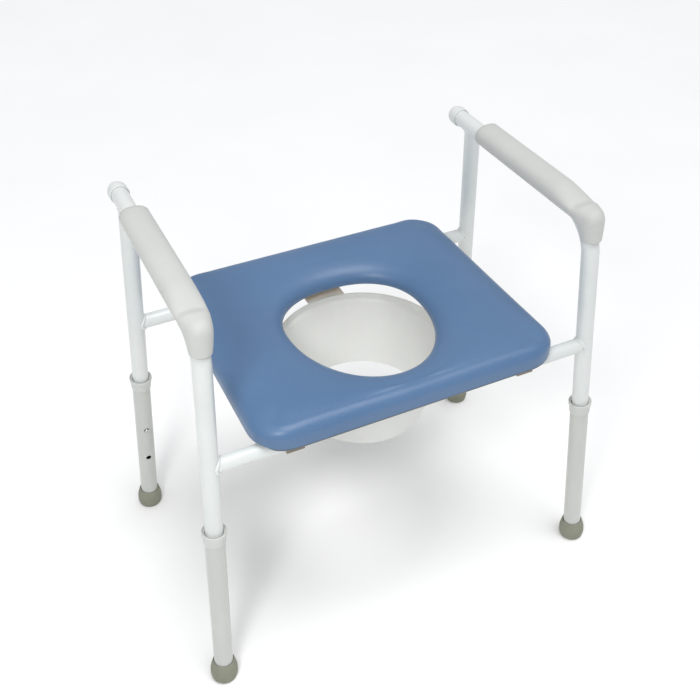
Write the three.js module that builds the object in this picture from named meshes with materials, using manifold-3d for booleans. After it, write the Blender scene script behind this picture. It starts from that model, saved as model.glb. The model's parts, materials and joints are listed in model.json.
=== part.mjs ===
// Over-toilet frame: two leaning side frames with padded arms, joined by a front and a rear rail,
// a lift-up padded seat clipped over the rails, a splash guard hung between them, and four
// telescoping legs locked by snap buttons. Millimetres, +Z up, the seat's front faces -Y.
import * as THREE from 'three';
import { mergeVertices } from 'three/addons/utils/BufferGeometryUtils.js';
import Module from 'manifold-3d';

const wasm = await Module();
wasm.setup();
const { Manifold, Mesh: SolidMesh } = wasm;

const radians = THREE.MathUtils.degToRad;

// ---- Driving dimensions ----
const GAP = 0.3;

// the stance: where the feet stand, and how the side frames and legs lean
const FOOT_HALF_WIDTH = 322.8;
const FOOT_HALF_DEPTH = 199;
const SIDE_LEAN = radians(3.65);
const LEG_SPLAY = radians(3.8);

// upper tube of the side frames
const TUBE_R = 12.7;
const TUBE_WALL = 1.5;
const ARM_HEIGHT = 627.5;
const ARM_BEND_R = 60;
const ARM_REAR_END = 199;
const UPRIGHT_BOTTOM = 165;

// cross rails
const RAIL_R = 11.1;
const RAIL_WALL = 1.5;
const RAIL_HEIGHT = 414.5;

// telescoping legs
const LEG_R = 14.3;
const LEG_WALL = 1.2;
const LEG_TOP = 297;
const HOLE_HEIGHT = 193;
const HOLE_PITCH = 67;
const HOLE_R = 4.3;
const LEG_HOLE_R = 4.5;

// collar at the top of each leg
const COLLAR_TOP = 304;
const COLLAR_HEIGHT = 21;
const COLLAR_RIM_R = 18;
const COLLAR_FOOT_R = 15.4;

// rubber ferrule and its washer
const FERRULE_R = 20.8;
const FERRULE_HEIGHT = 35;
const FERRULE_MOUTH_R = 16.3;
const FERRULE_FLOOR = 6;
const WASHER_THICK = 2;

// snap button
const BUTTON_R = 4;
const BUTTON_TIP = 17;
const BUTTON_BASE = 9.4;
const LEAF_THICK = 0.9;
const LEAF_WIDTH = 8;
const LEAF_LENGTH = 32;

// armrest grip
const GRIP_REAR = 122;
const GRIP_FRONT = -180;
const GRIP_HALF_WIDTH = 21.5;
const GRIP_WIDEST = 6;
const GRIP_ABOVE = 23;
const GRIP_BELOW = 14.6;
const GRIP_SLEEVE_R = 14.6;
const GRIP_SLEEVE_TOP_R = 21;
const GRIP_KNUCKLE_R = 15;
const GRIP_END_ROUND = 8;
const GRIP_BEND_START = 70;
const GRIP_SLEEVE_BOTTOM = 600;

// seat pad and its board
const SEAT_HALF_WIDTH = 233;
const SEAT_FRONT = -202;
const SEAT_REAR = 205;
const SEAT_CORNER_R = 52;
const SEAT_BOTTOM = 429.5;
const SEAT_TOP = 462;
const SEAT_ROLL = 14;
const BOARD_BOTTOM = 431.5;
const BOARD_THICK = 8;
const BOARD_INSET = 13;

// opening through the seat: a blunt-backed egg
const OPENING_CENTRE = 2;
const OPENING_HALF_WIDTH = 110;
const OPENING_FORWARD = 142;
const OPENING_BACKWARD = 96;
const OPENING_BACK_EXPONENT = 2.3;
const BOARD_OPENING_MARGIN = 6;

// splash guard
const GUARD_CENTRE = -19;
const GUARD_WALL = 2.5;
const GUARD_RIM_R = 134;
const GUARD_RIM_TOP = 407.5;
const GUARD_RIM_DEPTH = 10;
const GUARD_MOUTH_R = 98;
const GUARD_BOTTOM = 293.5;
const HOOK_WIDTH = 64;
const HOOK_OVERLAP = 8;
const HOOK_WRAP = 190;

// seat clips
const CLIP_X = 181;
const CLIP_WIDTH = 26;
const CLIP_WALL = 4;
const CLIP_PLATE_REACH = 44;
const CLIP_CHAMFER = 8;
const CLIP_SCREW_OFFSETS = [21, 35];
const FRONT_CLIP_LEG = 6;
const FRONT_CLIP_INNER_LEG = 9;
const REAR_CLIP_WRAP = 35;
const SCREW_R = 2;
const SCREW_HEAD_R = 3.9;
const SCREW_HEAD_HEIGHT = 2.4;
const SCREW_HOLE_R = 2.4;
const CLIP_INNER_R = RAIL_R + 0.4;
const CLIP_OUTER_R = CLIP_INNER_R + CLIP_WALL;

// facets
const ROUND = 20;
const SMALL_ROUND = 12;
const CORNER_STEPS = 4;
const BEND_STEPS = 7;

// ---- Where the leaning tubes run ----
const RAIL_Y = FOOT_HALF_DEPTH - RAIL_HEIGHT * Math.tan(LEG_SPLAY);
const RAIL_HALF_LENGTH = FOOT_HALF_WIDTH - RAIL_HEIGHT * Math.tan(SIDE_LEAN);
const FRONT_CORNER_Y = -(FOOT_HALF_DEPTH - ARM_HEIGHT * Math.tan(LEG_SPLAY));
const ARM_TURN = Math.PI / 2 - LEG_SPLAY;

// A side frame's own plane leans inwards; side is -1 on the left and +1 on the right.
function sideMatrix(side) {
  const lean = new THREE.Matrix4().makeRotationY(-side * SIDE_LEAN);
  return new THREE.Matrix4().makeTranslation(side * FOOT_HALF_WIDTH, 0, 0).multiply(lean);
}

// A leg's +Z runs up along the leg from the floor; end is -1 at the front and +1 at the rear.
function legInSide(end) {
  const splay = new THREE.Matrix4().makeRotationX(end * LEG_SPLAY);
  return new THREE.Matrix4().makeTranslation(0, end * FOOT_HALF_DEPTH, 0).multiply(splay);
}

function legMatrix(side, end) {
  return sideMatrix(side).multiply(legInSide(end));
}

// ---- Solids ----
function signedVolume(geometry) {
  const position = geometry.getAttribute('position');
  const index = geometry.getIndex();
  const [a, b, c] = [new THREE.Vector3(), new THREE.Vector3(), new THREE.Vector3()];
  let volume = 0;
  for (let i = 0; i < index.count; i += 3) {
    a.fromBufferAttribute(position, index.getX(i));
    b.fromBufferAttribute(position, index.getX(i + 1));
    c.fromBufferAttribute(position, index.getX(i + 2));
    volume += a.dot(b.cross(c)) / 6;
  }
  return volume;
}

function toSolid(geometry) {
  const plain = geometry.clone();
  plain.deleteAttribute('normal');
  plain.deleteAttribute('uv');
  const merged = mergeVertices(plain, 1e-3);
  const corners = merged.getIndex().array;
  const kept = [];
  for (let i = 0; i < corners.length; i += 3) {
    const [a, b, c] = corners.slice(i, i + 3);
    if (a !== b && b !== c && c !== a) kept.push(a, b, c);
  }
  const triVerts = new Uint32Array(kept);
  if (signedVolume(merged) < 0) {
    for (let i = 0; i < triVerts.length; i += 3) {
      [triVerts[i], triVerts[i + 1]] = [triVerts[i + 1], triVerts[i]];
    }
  }
  const vertProperties = new Float32Array(merged.getAttribute('position').array);
  return new Manifold(new SolidMesh({ numProp: 3, vertProperties, triVerts }));
}

function toGeometry(solid) {
  const made = solid.getMesh();
  const geometry = new THREE.BufferGeometry();
  geometry.setAttribute('position', new THREE.BufferAttribute(made.vertProperties, 3));
  geometry.setIndex(new THREE.BufferAttribute(made.triVerts, 1));
  return geometry;
}

function cylinder(radius, from, to, sides = ROUND, topRadius = radius) {
  const geometry = new THREE.CylinderGeometry(topRadius, radius, to - from, sides);
  geometry.rotateX(Math.PI / 2);
  geometry.translate(0, 0, (from + to) / 2);
  return toSolid(geometry);
}

function box(size, centre) {
  const geometry = new THREE.BoxGeometry(...size);
  geometry.translate(...centre);
  return toSolid(geometry);
}

// Turns [radius, height] points about +Z. The profile closes on itself or ends on the axis.
function lathe(profile, sides = ROUND) {
  const onAxis = profile[0][0] === 0 && profile.at(-1)[0] === 0;
  const points = profile.map(([radius, height]) => new THREE.Vector2(radius, height));
  if (!onAxis) points.push(points[0].clone());
  const geometry = new THREE.LatheGeometry(points, sides);
  geometry.rotateX(Math.PI / 2);
  return toSolid(geometry);
}

// Extrudes an outline of (y, z) points along X, centred on x.
function slab(outline, x, width) {
  const shape = new THREE.Shape(outline.map(([y, z]) => new THREE.Vector2(y, z)));
  const geometry = new THREE.ExtrudeGeometry(shape, { depth: width, bevelEnabled: false });
  geometry.translate(0, 0, x - width / 2);
  const [acrossX, alongY, upZ] = [[1, 0, 0], [0, 1, 0], [0, 0, 1]].map((v) => new THREE.Vector3(...v));
  geometry.applyMatrix4(new THREE.Matrix4().makeBasis(alongY, upZ, acrossX));
  return toSolid(geometry);
}

function moved(solid, matrix) {
  const geometry = toGeometry(solid);
  geometry.applyMatrix4(matrix);
  return toSolid(geometry);
}

// A cylinder that points from the leg's axis along its local Y, at a height up the leg.
function radialCylinder(radius, from, to, height, sides = SMALL_ROUND) {
  const geometry = new THREE.CylinderGeometry(radius, radius, to - from, sides);
  geometry.translate(0, (from + to) / 2, height);
  return toSolid(geometry);
}

function arc(centre, radius, from, to, steps) {
  return Array.from({ length: steps + 1 }, (_, i) => {
    const angle = radians(from + ((to - from) * i) / steps);
    return [centre[0] + radius * Math.cos(angle), centre[1] + radius * Math.sin(angle)];
  });
}

// ---- Finishes ----
function finish(color, roughness, metalness = 0) {
  return () => new THREE.MeshStandardMaterial({ color, roughness, metalness });
}

const powderCoat = finish(0xdfe3e0, 0.35);
const legCoat = finish(0xc3c4bf, 0.35);
const collarPlastic = finish(0xb4b6b0, 0.5);
const ferruleRubber = finish(0x8a8b7a, 0.8);
const gripVinyl = finish(0xc6c6c1, 0.55);
const bluePolyurethane = finish(0x5f7fa8, 0.45);
const boardPly = finish(0xc8b795, 0.7);
const clipPlastic = finish(0x857b69, 0.6);
const guardPlastic = finish(0xd3d5d0, 0.5);
const zincSteel = finish(0xb9bcc0, 0.35, 0.9);

function part(name, solid, material, parent) {
  const mesh = new THREE.Mesh(toGeometry(solid), material());
  mesh.name = name;
  parent.add(mesh);
  return mesh;
}

// ---- Side frame tubes ----
// The arm's centre line in the side plane: the stub behind the rear upright, the run forwards,
// the bend, and the front upright down into its leg. Equal parameter steps crowd into the bend.
class ArmLine extends THREE.Curve {
  constructor(bendSteps) {
    super();
    const tangent = ARM_BEND_R * Math.tan(ARM_TURN / 2);
    this.steps = bendSteps + 2;
    this.rear = new THREE.Vector3(0, ARM_REAR_END, ARM_HEIGHT);
    this.centre = new THREE.Vector3(0, FRONT_CORNER_Y + tangent, ARM_HEIGHT - ARM_BEND_R);
    this.foot = new THREE.Vector3(0, 0, UPRIGHT_BOTTOM).applyMatrix4(legInSide(-1));
  }

  onBend(share) {
    const angle = share * ARM_TURN;
    const reach = new THREE.Vector3(0, -Math.sin(angle), Math.cos(angle));
    return this.centre.clone().addScaledVector(reach, ARM_BEND_R);
  }

  getPoint(t) {
    const step = t * this.steps;
    if (step < 1) return this.rear.clone().lerp(this.onBend(0), step);
    if (step > this.steps - 1) {
      return this.onBend(1).lerp(this.foot, step - this.steps + 1);
    }
    return this.onBend((step - 1) / (this.steps - 2));
  }

  getUtoTmapping(u) {
    return u;
  }
}

function sweepArm(radius, bendSteps, hollow = 0) {
  const section = new THREE.Shape();
  section.absarc(0, 0, radius, 0, Math.PI * 2, false);
  if (hollow > 0) {
    const bore = new THREE.Path();
    bore.absarc(0, 0, hollow, 0, Math.PI * 2, true);
    section.holes.push(bore);
  }
  const extrudePath = new ArmLine(bendSteps);
  const options = { steps: extrudePath.steps, curveSegments: ROUND / 2, extrudePath };
  return toSolid(new THREE.ExtrudeGeometry(section, options));
}

function armTube() {
  const tube = sweepArm(TUBE_R, BEND_STEPS, TUBE_R - TUBE_WALL);
  const hole = radialCylinder(HOLE_R, 6, TUBE_R + 4, HOLE_HEIGHT);
  return tube.subtract(moved(hole, legInSide(-1)));
}

function rearUpright() {
  const top = ARM_HEIGHT / Math.cos(LEG_SPLAY) - 1;
  const tube = cylinder(TUBE_R, UPRIGHT_BOTTOM, top);
  const bore = cylinder(TUBE_R - TUBE_WALL, UPRIGHT_BOTTOM - 1, top + 1);
  const hole = radialCylinder(HOLE_R, -TUBE_R - 4, -6, HOLE_HEIGHT);
  const arm = new THREE.CylinderGeometry(TUBE_R + GAP, TUBE_R + GAP, 300, ROUND);
  arm.translate(0, ARM_REAR_END - 100, ARM_HEIGHT);
  arm.applyMatrix4(legInSide(1).invert());
  return tube.subtract(bore).subtract(hole).subtract(toSolid(arm));
}

function rail(end) {
  const along = new THREE.Matrix4().makeRotationY(Math.PI / 2);
  const place = new THREE.Matrix4().makeTranslation(0, end * RAIL_Y, RAIL_HEIGHT).multiply(along);
  const outside = cylinder(RAIL_R, -RAIL_HALF_LENGTH, RAIL_HALF_LENGTH);
  const bore = cylinder(RAIL_R - RAIL_WALL, -RAIL_HALF_LENGTH - 1, RAIL_HALF_LENGTH + 1);
  let tube = moved(outside.subtract(bore), place);
  for (const side of [-1, 1]) {
    tube = tube.subtract(moved(cylinder(TUBE_R + GAP, 300, 560), legMatrix(side, end)));
  }
  return tube;
}

function rearCap() {
  const inner = TUBE_R + GAP;
  const outer = inner + 2;
  const length = 12;
  const dome = arc([outer - 9, length - 3], 9, 0, 90, 3);
  const outside = [[outer - 0.6, -7], [outer, -6], ...dome, [0, length + 6]];
  return lathe([[0, GAP], [inner, GAP], [inner, -7], ...outside]);
}

// ---- Legs ----
// Two holes: the button sits in the upper one, with the leg drawn out, or in the lower one.
function legTube(end) {
  const bottom = FERRULE_FLOOR + WASHER_THICK + 2 * GAP;
  const tube = cylinder(LEG_R, bottom, LEG_TOP);
  let leg = tube.subtract(cylinder(LEG_R - LEG_WALL, bottom - 1, LEG_TOP + 1));
  const [from, to] = end < 0 ? [6, LEG_R + 4] : [-LEG_R - 4, -6];
  for (const height of [HOLE_HEIGHT, HOLE_HEIGHT - HOLE_PITCH]) {
    leg = leg.subtract(radialCylinder(LEG_HOLE_R, from, to, height));
  }
  return leg;
}

// A bell: a bore over the leg, a lip past the leg's end, and a mouth flared round the upper tube.
function legCollar() {
  const bottom = COLLAR_TOP - COLLAR_HEIGHT;
  const lip = LEG_TOP + GAP;
  return lathe([
    [LEG_R + GAP, bottom],
    [COLLAR_FOOT_R, bottom],
    [COLLAR_FOOT_R + 0.5, bottom + 3],
    [COLLAR_FOOT_R + 1, COLLAR_TOP - 9],
    [COLLAR_RIM_R - 0.4, COLLAR_TOP - 5],
    [COLLAR_RIM_R, COLLAR_TOP - 2],
    [COLLAR_RIM_R - 0.8, COLLAR_TOP],
    [COLLAR_RIM_R - 2, COLLAR_TOP],
    [COLLAR_RIM_R - 2.8, COLLAR_TOP - 2],
    [TUBE_R + 0.6, COLLAR_TOP - 3],
    [TUBE_R + 0.5, lip],
    [LEG_R + GAP, lip],
  ]);
}

// A bulb that narrows to a close mouth round the leg, cut flat where it meets the floor.
function ferrule(side, end) {
  const bore = LEG_R + GAP;
  const cup = lathe([
    [0, -4],
    [FERRULE_R - 5, -4],
    [FERRULE_R - 3.2, 0],
    [FERRULE_R - 0.8, 5],
    [FERRULE_R, 11],
    [FERRULE_R, 17],
    [FERRULE_R - 1, 23],
    [FERRULE_R - 2.6, 29],
    [FERRULE_MOUTH_R, FERRULE_HEIGHT],
    [bore + 0.4, FERRULE_HEIGHT],
    [bore, FERRULE_HEIGHT - 2],
    [bore, FERRULE_FLOOR],
    [0, FERRULE_FLOOR],
  ]);
  const floor = new THREE.BoxGeometry(120, 120, 40);
  floor.translate(side * FOOT_HALF_WIDTH, end * FOOT_HALF_DEPTH, -20);
  floor.applyMatrix4(legMatrix(side, end).invert());
  return cup.subtract(toSolid(floor));
}

function washer() {
  const bottom = FERRULE_FLOOR + GAP;
  const top = bottom + WASHER_THICK - GAP;
  return lathe([[5, bottom], [LEG_R - 0.4, bottom], [LEG_R - 0.4, top], [5, top]], 16);
}

function snapButton(end) {
  const shank = lathe([
    [0, BUTTON_BASE],
    [BUTTON_R, BUTTON_BASE],
    [BUTTON_R, BUTTON_TIP - 2],
    [BUTTON_R * 0.75, BUTTON_TIP - 0.7],
    [0, BUTTON_TIP],
  ], SMALL_ROUND);
  const outwards = new THREE.Matrix4().makeRotationX(end * Math.PI / 2);
  const place = new THREE.Matrix4().makeTranslation(0, 0, HOLE_HEIGHT).multiply(outwards);
  return moved(shank, place);
}

// A V of spring strip: one leaf behind the button, the other against the far wall of the tube.
function buttonSpring(end) {
  const front = BUTTON_BASE - GAP;
  const back = -(TUBE_R - TUBE_WALL - 1.6);
  const low = HOLE_HEIGHT - LEAF_LENGTH;
  const high = HOLE_HEIGHT + 5;
  const outline = [
    [front, high],
    [front - LEAF_THICK, high],
    [front - LEAF_THICK, HOLE_HEIGHT - 6],
    [0, low + 2],
    [back + LEAF_THICK, HOLE_HEIGHT - 6],
    [back + LEAF_THICK, high],
    [back, high],
    [back, HOLE_HEIGHT - 6],
    [-1, low],
    [1, low],
    [front, HOLE_HEIGHT - 6],
  ];
  return slab(outline.map(([y, z]) => [-end * y, z]), 0, LEAF_WIDTH);
}

// ---- Armrest grip ----
// Section across the arm: round under the tube, wide and thick above it.
function gripSection() {
  const shape = new THREE.Shape();
  const above = GRIP_ABOVE - GRIP_WIDEST;
  const below = GRIP_BELOW + GRIP_WIDEST;
  for (let i = 0; i < ROUND; i += 1) {
    const angle = (2 * Math.PI * i) / ROUND;
    const height = Math.sin(angle) > 0 ? above : below;
    const x = GRIP_HALF_WIDTH * Math.cos(angle);
    const y = GRIP_WIDEST + height * Math.sin(angle);
    if (i === 0) shape.moveTo(x, y);
    else shape.lineTo(x, y);
  }
  return shape;
}

function armGrip() {
  const length = GRIP_REAR - GRIP_FRONT;
  const bar = new THREE.ExtrudeGeometry(gripSection(), { depth: length, bevelEnabled: false });
  bar.rotateX(Math.PI / 2);
  bar.translate(0, GRIP_REAR, ARM_HEIGHT);
  const sleeve = cylinder(GRIP_SLEEVE_R, GRIP_SLEEVE_BOTTOM - 2, ARM_HEIGHT + 20, ROUND, GRIP_SLEEVE_TOP_R);
  const bend = sweepArm(GRIP_SLEEVE_R, BEND_STEPS);
  const top = ARM_HEIGHT + GRIP_ABOVE;
  const under = ARM_HEIGHT - GRIP_BELOW - 5;
  const knuckleCentre = [GRIP_FRONT + GRIP_KNUCKLE_R, top - GRIP_KNUCKLE_R];
  const outline = [
    [GRIP_REAR, under],
    [GRIP_REAR, top - GRIP_END_ROUND],
    [GRIP_REAR - GRIP_END_ROUND, top],
    ...arc(knuckleCentre, GRIP_KNUCKLE_R, 90, 180, 4),
    [GRIP_FRONT, GRIP_SLEEVE_BOTTOM],
    [GRIP_FRONT + 45, GRIP_SLEEVE_BOTTOM],
    [GRIP_FRONT + GRIP_BEND_START, under],
  ];
  const envelope = slab(outline, 0, 2 * GRIP_HALF_WIDTH + 4);
  const whole = toSolid(bar).add(moved(sleeve, legInSide(-1))).add(bend).intersect(envelope);
  return whole.subtract(sweepArm(TUBE_R + GAP, BEND_STEPS));
}

// ---- Seat ----
function seatOutline(inset) {
  const x = SEAT_HALF_WIDTH - inset;
  const [front, rear] = [SEAT_FRONT + inset, SEAT_REAR - inset];
  const radius = SEAT_CORNER_R - inset;
  const shape = new THREE.Shape();
  shape.absarc(x - radius, rear - radius, radius, 0, Math.PI / 2, false);
  shape.absarc(-x + radius, rear - radius, radius, Math.PI / 2, Math.PI, false);
  shape.absarc(-x + radius, front + radius, radius, Math.PI, Math.PI * 1.5, false);
  shape.absarc(x - radius, front + radius, radius, Math.PI * 1.5, Math.PI * 2, false);
  return shape;
}

function openingPath(margin, points = 36) {
  const path = new THREE.Path();
  for (let i = 0; i < points; i += 1) {
    const angle = (2 * Math.PI * i) / points;
    const [c, s] = [Math.cos(angle), Math.sin(angle)];
    const reach = s > 0 ? OPENING_BACKWARD : OPENING_FORWARD;
    const power = s > 0 ? 2 / OPENING_BACK_EXPONENT : 1;
    const x = (OPENING_HALF_WIDTH + margin) * Math.sign(c) * Math.abs(c) ** power;
    const y = OPENING_CENTRE + (reach + margin) * Math.sign(s) * Math.abs(s) ** power;
    if (i === 0) path.moveTo(x, y);
    else path.lineTo(x, y);
  }
  return path;
}

function plate(outlineInset, openingMargin, from, to) {
  const shape = seatOutline(outlineInset);
  shape.holes.push(openingPath(openingMargin));
  const options = { depth: to - from, bevelEnabled: false, curveSegments: CORNER_STEPS };
  const geometry = new THREE.ExtrudeGeometry(shape, options);
  geometry.translate(0, 0, from);
  return toSolid(geometry);
}

function seatPad() {
  const shape = seatOutline(SEAT_ROLL);
  shape.holes.push(openingPath(SEAT_ROLL));
  const body = SEAT_TOP - SEAT_BOTTOM - SEAT_ROLL;
  const geometry = new THREE.ExtrudeGeometry(shape, {
    depth: body + SEAT_ROLL,
    bevelThickness: SEAT_ROLL,
    bevelSize: SEAT_ROLL,
    bevelSegments: 3,
    curveSegments: CORNER_STEPS,
  });
  geometry.translate(0, 0, SEAT_BOTTOM - SEAT_ROLL);
  const below = box([600, 600, 60], [0, 0, SEAT_BOTTOM - 30]);
  const recess = plate(
    BOARD_INSET - GAP,
    BOARD_OPENING_MARGIN - GAP,
    SEAT_BOTTOM - 1,
    BOARD_BOTTOM + BOARD_THICK + GAP,
  );
  return toSolid(geometry).subtract(below).subtract(recess);
}

function seatBoard() {
  const top = BOARD_BOTTOM + BOARD_THICK;
  let board = plate(BOARD_INSET, BOARD_OPENING_MARGIN, BOARD_BOTTOM, top);
  for (const x of [-CLIP_X, CLIP_X]) {
    for (const end of [-1, 1]) {
      for (const offset of CLIP_SCREW_OFFSETS) {
        const hole = cylinder(SCREW_HOLE_R, BOARD_BOTTOM - 1, top - 1.5, 8);
        board = board.subtract(hole.translate([x, end * (RAIL_Y - offset), 0]));
      }
    }
  }
  return board;
}

// A clip's outline as (inward, z) points, inward from the rail towards the middle of the seat:
// a ring or saddle over the rail under a plate that the screws go through.
function clipOutline(innerSide, outerSide, throat) {
  const plateLow = BOARD_BOTTOM - GAP - CLIP_WALL;
  const plateHigh = BOARD_BOTTOM - GAP;
  return [
    ...innerSide,
    [CLIP_OUTER_R, plateLow],
    [CLIP_PLATE_REACH, plateLow],
    [CLIP_PLATE_REACH, plateHigh],
    [CLIP_CHAMFER - CLIP_OUTER_R, plateHigh],
    [-CLIP_OUTER_R, plateHigh - CLIP_CHAMFER],
    ...outerSide,
    ...throat,
  ];
}

// The front clip is a saddle: open below so that it lifts off, its inner leg the longer one.
function frontClip() {
  const innerLow = RAIL_HEIGHT - FRONT_CLIP_INNER_LEG;
  const outerLow = RAIL_HEIGHT - FRONT_CLIP_LEG;
  const outerLeg = [[-CLIP_OUTER_R, outerLow], [-CLIP_INNER_R, outerLow]];
  const throat = arc([0, RAIL_HEIGHT], CLIP_INNER_R, 180, 0, 8);
  return clipOutline([[CLIP_OUTER_R, innerLow]], outerLeg, [...throat, [CLIP_INNER_R, innerLow]]);
}

// The rear clip wraps past the rail's sides, so that the seat turns on the rail.
function rearClip() {
  const centre = [0, RAIL_HEIGHT];
  const innerSide = arc(centre, CLIP_OUTER_R, -REAR_CLIP_WRAP, 0, 3);
  const outerSide = arc(centre, CLIP_OUTER_R, 180, 180 + REAR_CLIP_WRAP, 3);
  const throat = arc(centre, CLIP_INNER_R, 180 + REAR_CLIP_WRAP, -REAR_CLIP_WRAP, 12);
  return clipOutline(innerSide, outerSide, throat);
}

function seatClip(side, end) {
  const outline = end < 0 ? frontClip() : rearClip();
  const placed = outline.map(([inward, z]) => [end * (RAIL_Y - inward), z]);
  let clip = slab(placed, side * CLIP_X, CLIP_WIDTH);
  for (const offset of CLIP_SCREW_OFFSETS) {
    const hole = cylinder(SCREW_HOLE_R, BOARD_BOTTOM - 12, BOARD_BOTTOM + 1, 8);
    clip = clip.subtract(hole.translate([side * CLIP_X, end * (RAIL_Y - offset), 0]));
  }
  return clip;
}

function clipScrew(side, end, offset) {
  const seatOn = BOARD_BOTTOM - CLIP_WALL - 2 * GAP;
  const tip = BOARD_BOTTOM + BOARD_THICK - 2;
  const screw = lathe([
    [0, seatOn - SCREW_HEAD_HEIGHT],
    [SCREW_HEAD_R - 1.3, seatOn - SCREW_HEAD_HEIGHT],
    [SCREW_HEAD_R, seatOn - 1],
    [SCREW_HEAD_R, seatOn],
    [SCREW_R, seatOn],
    [SCREW_R, tip],
    [0, tip],
  ], 8);
  return screw.translate([side * CLIP_X, end * (RAIL_Y - offset), 0]);
}

// ---- Splash guard ----
// A conical chute under a drum rim, with a tongue at the front and the rear that hooks on a rail.
function hook(end) {
  const inner = RAIL_R + 0.4;
  const outer = inner + GUARD_WALL;
  const centre = [end * RAIL_Y, RAIL_HEIGHT];
  const rimReach = GUARD_CENTRE * end + GUARD_RIM_R - HOOK_OVERLAP;
  const [near, far] = end > 0 ? [180, 180 - HOOK_WRAP] : [0, HOOK_WRAP];
  const outline = [
    [end * rimReach, GUARD_RIM_TOP - GUARD_WALL],
    [end * rimReach, GUARD_RIM_TOP],
    [end * (RAIL_Y - outer), GUARD_RIM_TOP],
    ...arc(centre, outer, near, far, 8),
    ...arc(centre, inner, far, near, 8),
    [end * (RAIL_Y - inner), GUARD_RIM_TOP - GUARD_WALL],
  ];
  return slab(outline, 0, HOOK_WIDTH);
}

function splashGuard() {
  const rimLow = GUARD_RIM_TOP - GUARD_RIM_DEPTH;
  const chute = lathe([
    [GUARD_RIM_R - GUARD_WALL, GUARD_RIM_TOP],
    [GUARD_RIM_R - GUARD_WALL, rimLow + 1],
    [GUARD_RIM_R - GUARD_WALL - 5, rimLow - 3],
    [GUARD_MOUTH_R - GUARD_WALL, GUARD_BOTTOM],
    [GUARD_MOUTH_R, GUARD_BOTTOM],
    [GUARD_RIM_R - 5, rimLow - 5],
    [GUARD_RIM_R, rimLow],
    [GUARD_RIM_R, GUARD_RIM_TOP],
  ], 40).translate([0, GUARD_CENTRE, 0]);
  const bore = cylinder(GUARD_RIM_R - 1, GUARD_RIM_TOP - 20, GUARD_RIM_TOP + 20, 40);
  const inside = bore.translate([0, GUARD_CENTRE, 0]);
  return chute.add(hook(-1).subtract(inside)).add(hook(1).subtract(inside));
}

// ---- The whole object ----
const frame = new THREE.Group();
const SIDES = [['left', -1], ['right', 1]];
const ENDS = [['front', -1], ['rear', 1]];

for (const [sideName, side] of SIDES) {
  const sideGroup = new THREE.Group();
  sideGroup.applyMatrix4(sideMatrix(side));
  frame.add(sideGroup);
  part(`${sideName}_arm_tube`, armTube(), powderCoat, sideGroup);
  part(`${sideName}_armrest_grip`, armGrip(), gripVinyl, sideGroup);
  const cap = part(`${sideName}_rear_cap`, rearCap(), powderCoat, sideGroup);
  cap.position.set(0, ARM_REAR_END, ARM_HEIGHT);
  cap.rotation.x = -Math.PI / 2;

  for (const [endName, end] of ENDS) {
    const name = `${endName}_${sideName}`;
    const legGroup = new THREE.Group();
    legGroup.applyMatrix4(legInSide(end));
    sideGroup.add(legGroup);
    if (end > 0) part(`${sideName}_rear_upright`, rearUpright(), powderCoat, legGroup);
    part(`${name}_leg`, legTube(end), legCoat, legGroup);
    part(`${name}_collar`, legCollar(), collarPlastic, legGroup);
    part(`${name}_ferrule`, ferrule(side, end), ferruleRubber, legGroup);
    part(`${name}_washer`, washer(), zincSteel, legGroup);
    part(`${name}_snap_button`, snapButton(end), zincSteel, legGroup);
    part(`${name}_button_spring`, buttonSpring(end), zincSteel, legGroup);
    part(`${name}_seat_clip`, seatClip(side, end), clipPlastic, frame);
    CLIP_SCREW_OFFSETS.forEach((offset, i) => {
      part(`${name}_clip_screw_${i + 1}`, clipScrew(side, end, offset), zincSteel, frame);
    });
  }
}

part('front_rail', rail(-1), powderCoat, frame);
part('rear_rail', rail(1), powderCoat, frame);
part('seat_pad', seatPad(), bluePolyurethane, frame);
part('seat_board', seatBoard(), boardPly, frame);
part('splash_guard', splashGuard(), guardPlastic, frame);

export default frame;
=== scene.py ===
"""Free-standing raised toilet seat frame: the looks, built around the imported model."""

import json
import math

import bmesh
import bpy
import numpy as np
from mathutils import Matrix, Vector, kdtree


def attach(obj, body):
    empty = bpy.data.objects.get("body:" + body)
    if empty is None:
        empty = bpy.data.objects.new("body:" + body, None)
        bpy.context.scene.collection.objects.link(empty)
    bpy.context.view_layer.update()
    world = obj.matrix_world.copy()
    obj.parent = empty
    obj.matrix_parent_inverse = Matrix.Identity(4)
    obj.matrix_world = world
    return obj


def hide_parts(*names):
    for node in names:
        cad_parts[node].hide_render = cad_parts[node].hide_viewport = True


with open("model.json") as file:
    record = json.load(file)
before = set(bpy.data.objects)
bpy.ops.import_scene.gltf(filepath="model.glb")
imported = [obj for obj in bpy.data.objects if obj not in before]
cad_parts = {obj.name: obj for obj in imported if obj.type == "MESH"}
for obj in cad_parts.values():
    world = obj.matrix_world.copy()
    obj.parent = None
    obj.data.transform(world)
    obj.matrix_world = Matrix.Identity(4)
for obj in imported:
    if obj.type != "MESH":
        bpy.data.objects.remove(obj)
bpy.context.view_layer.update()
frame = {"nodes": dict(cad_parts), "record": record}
MM = 0.001

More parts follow.
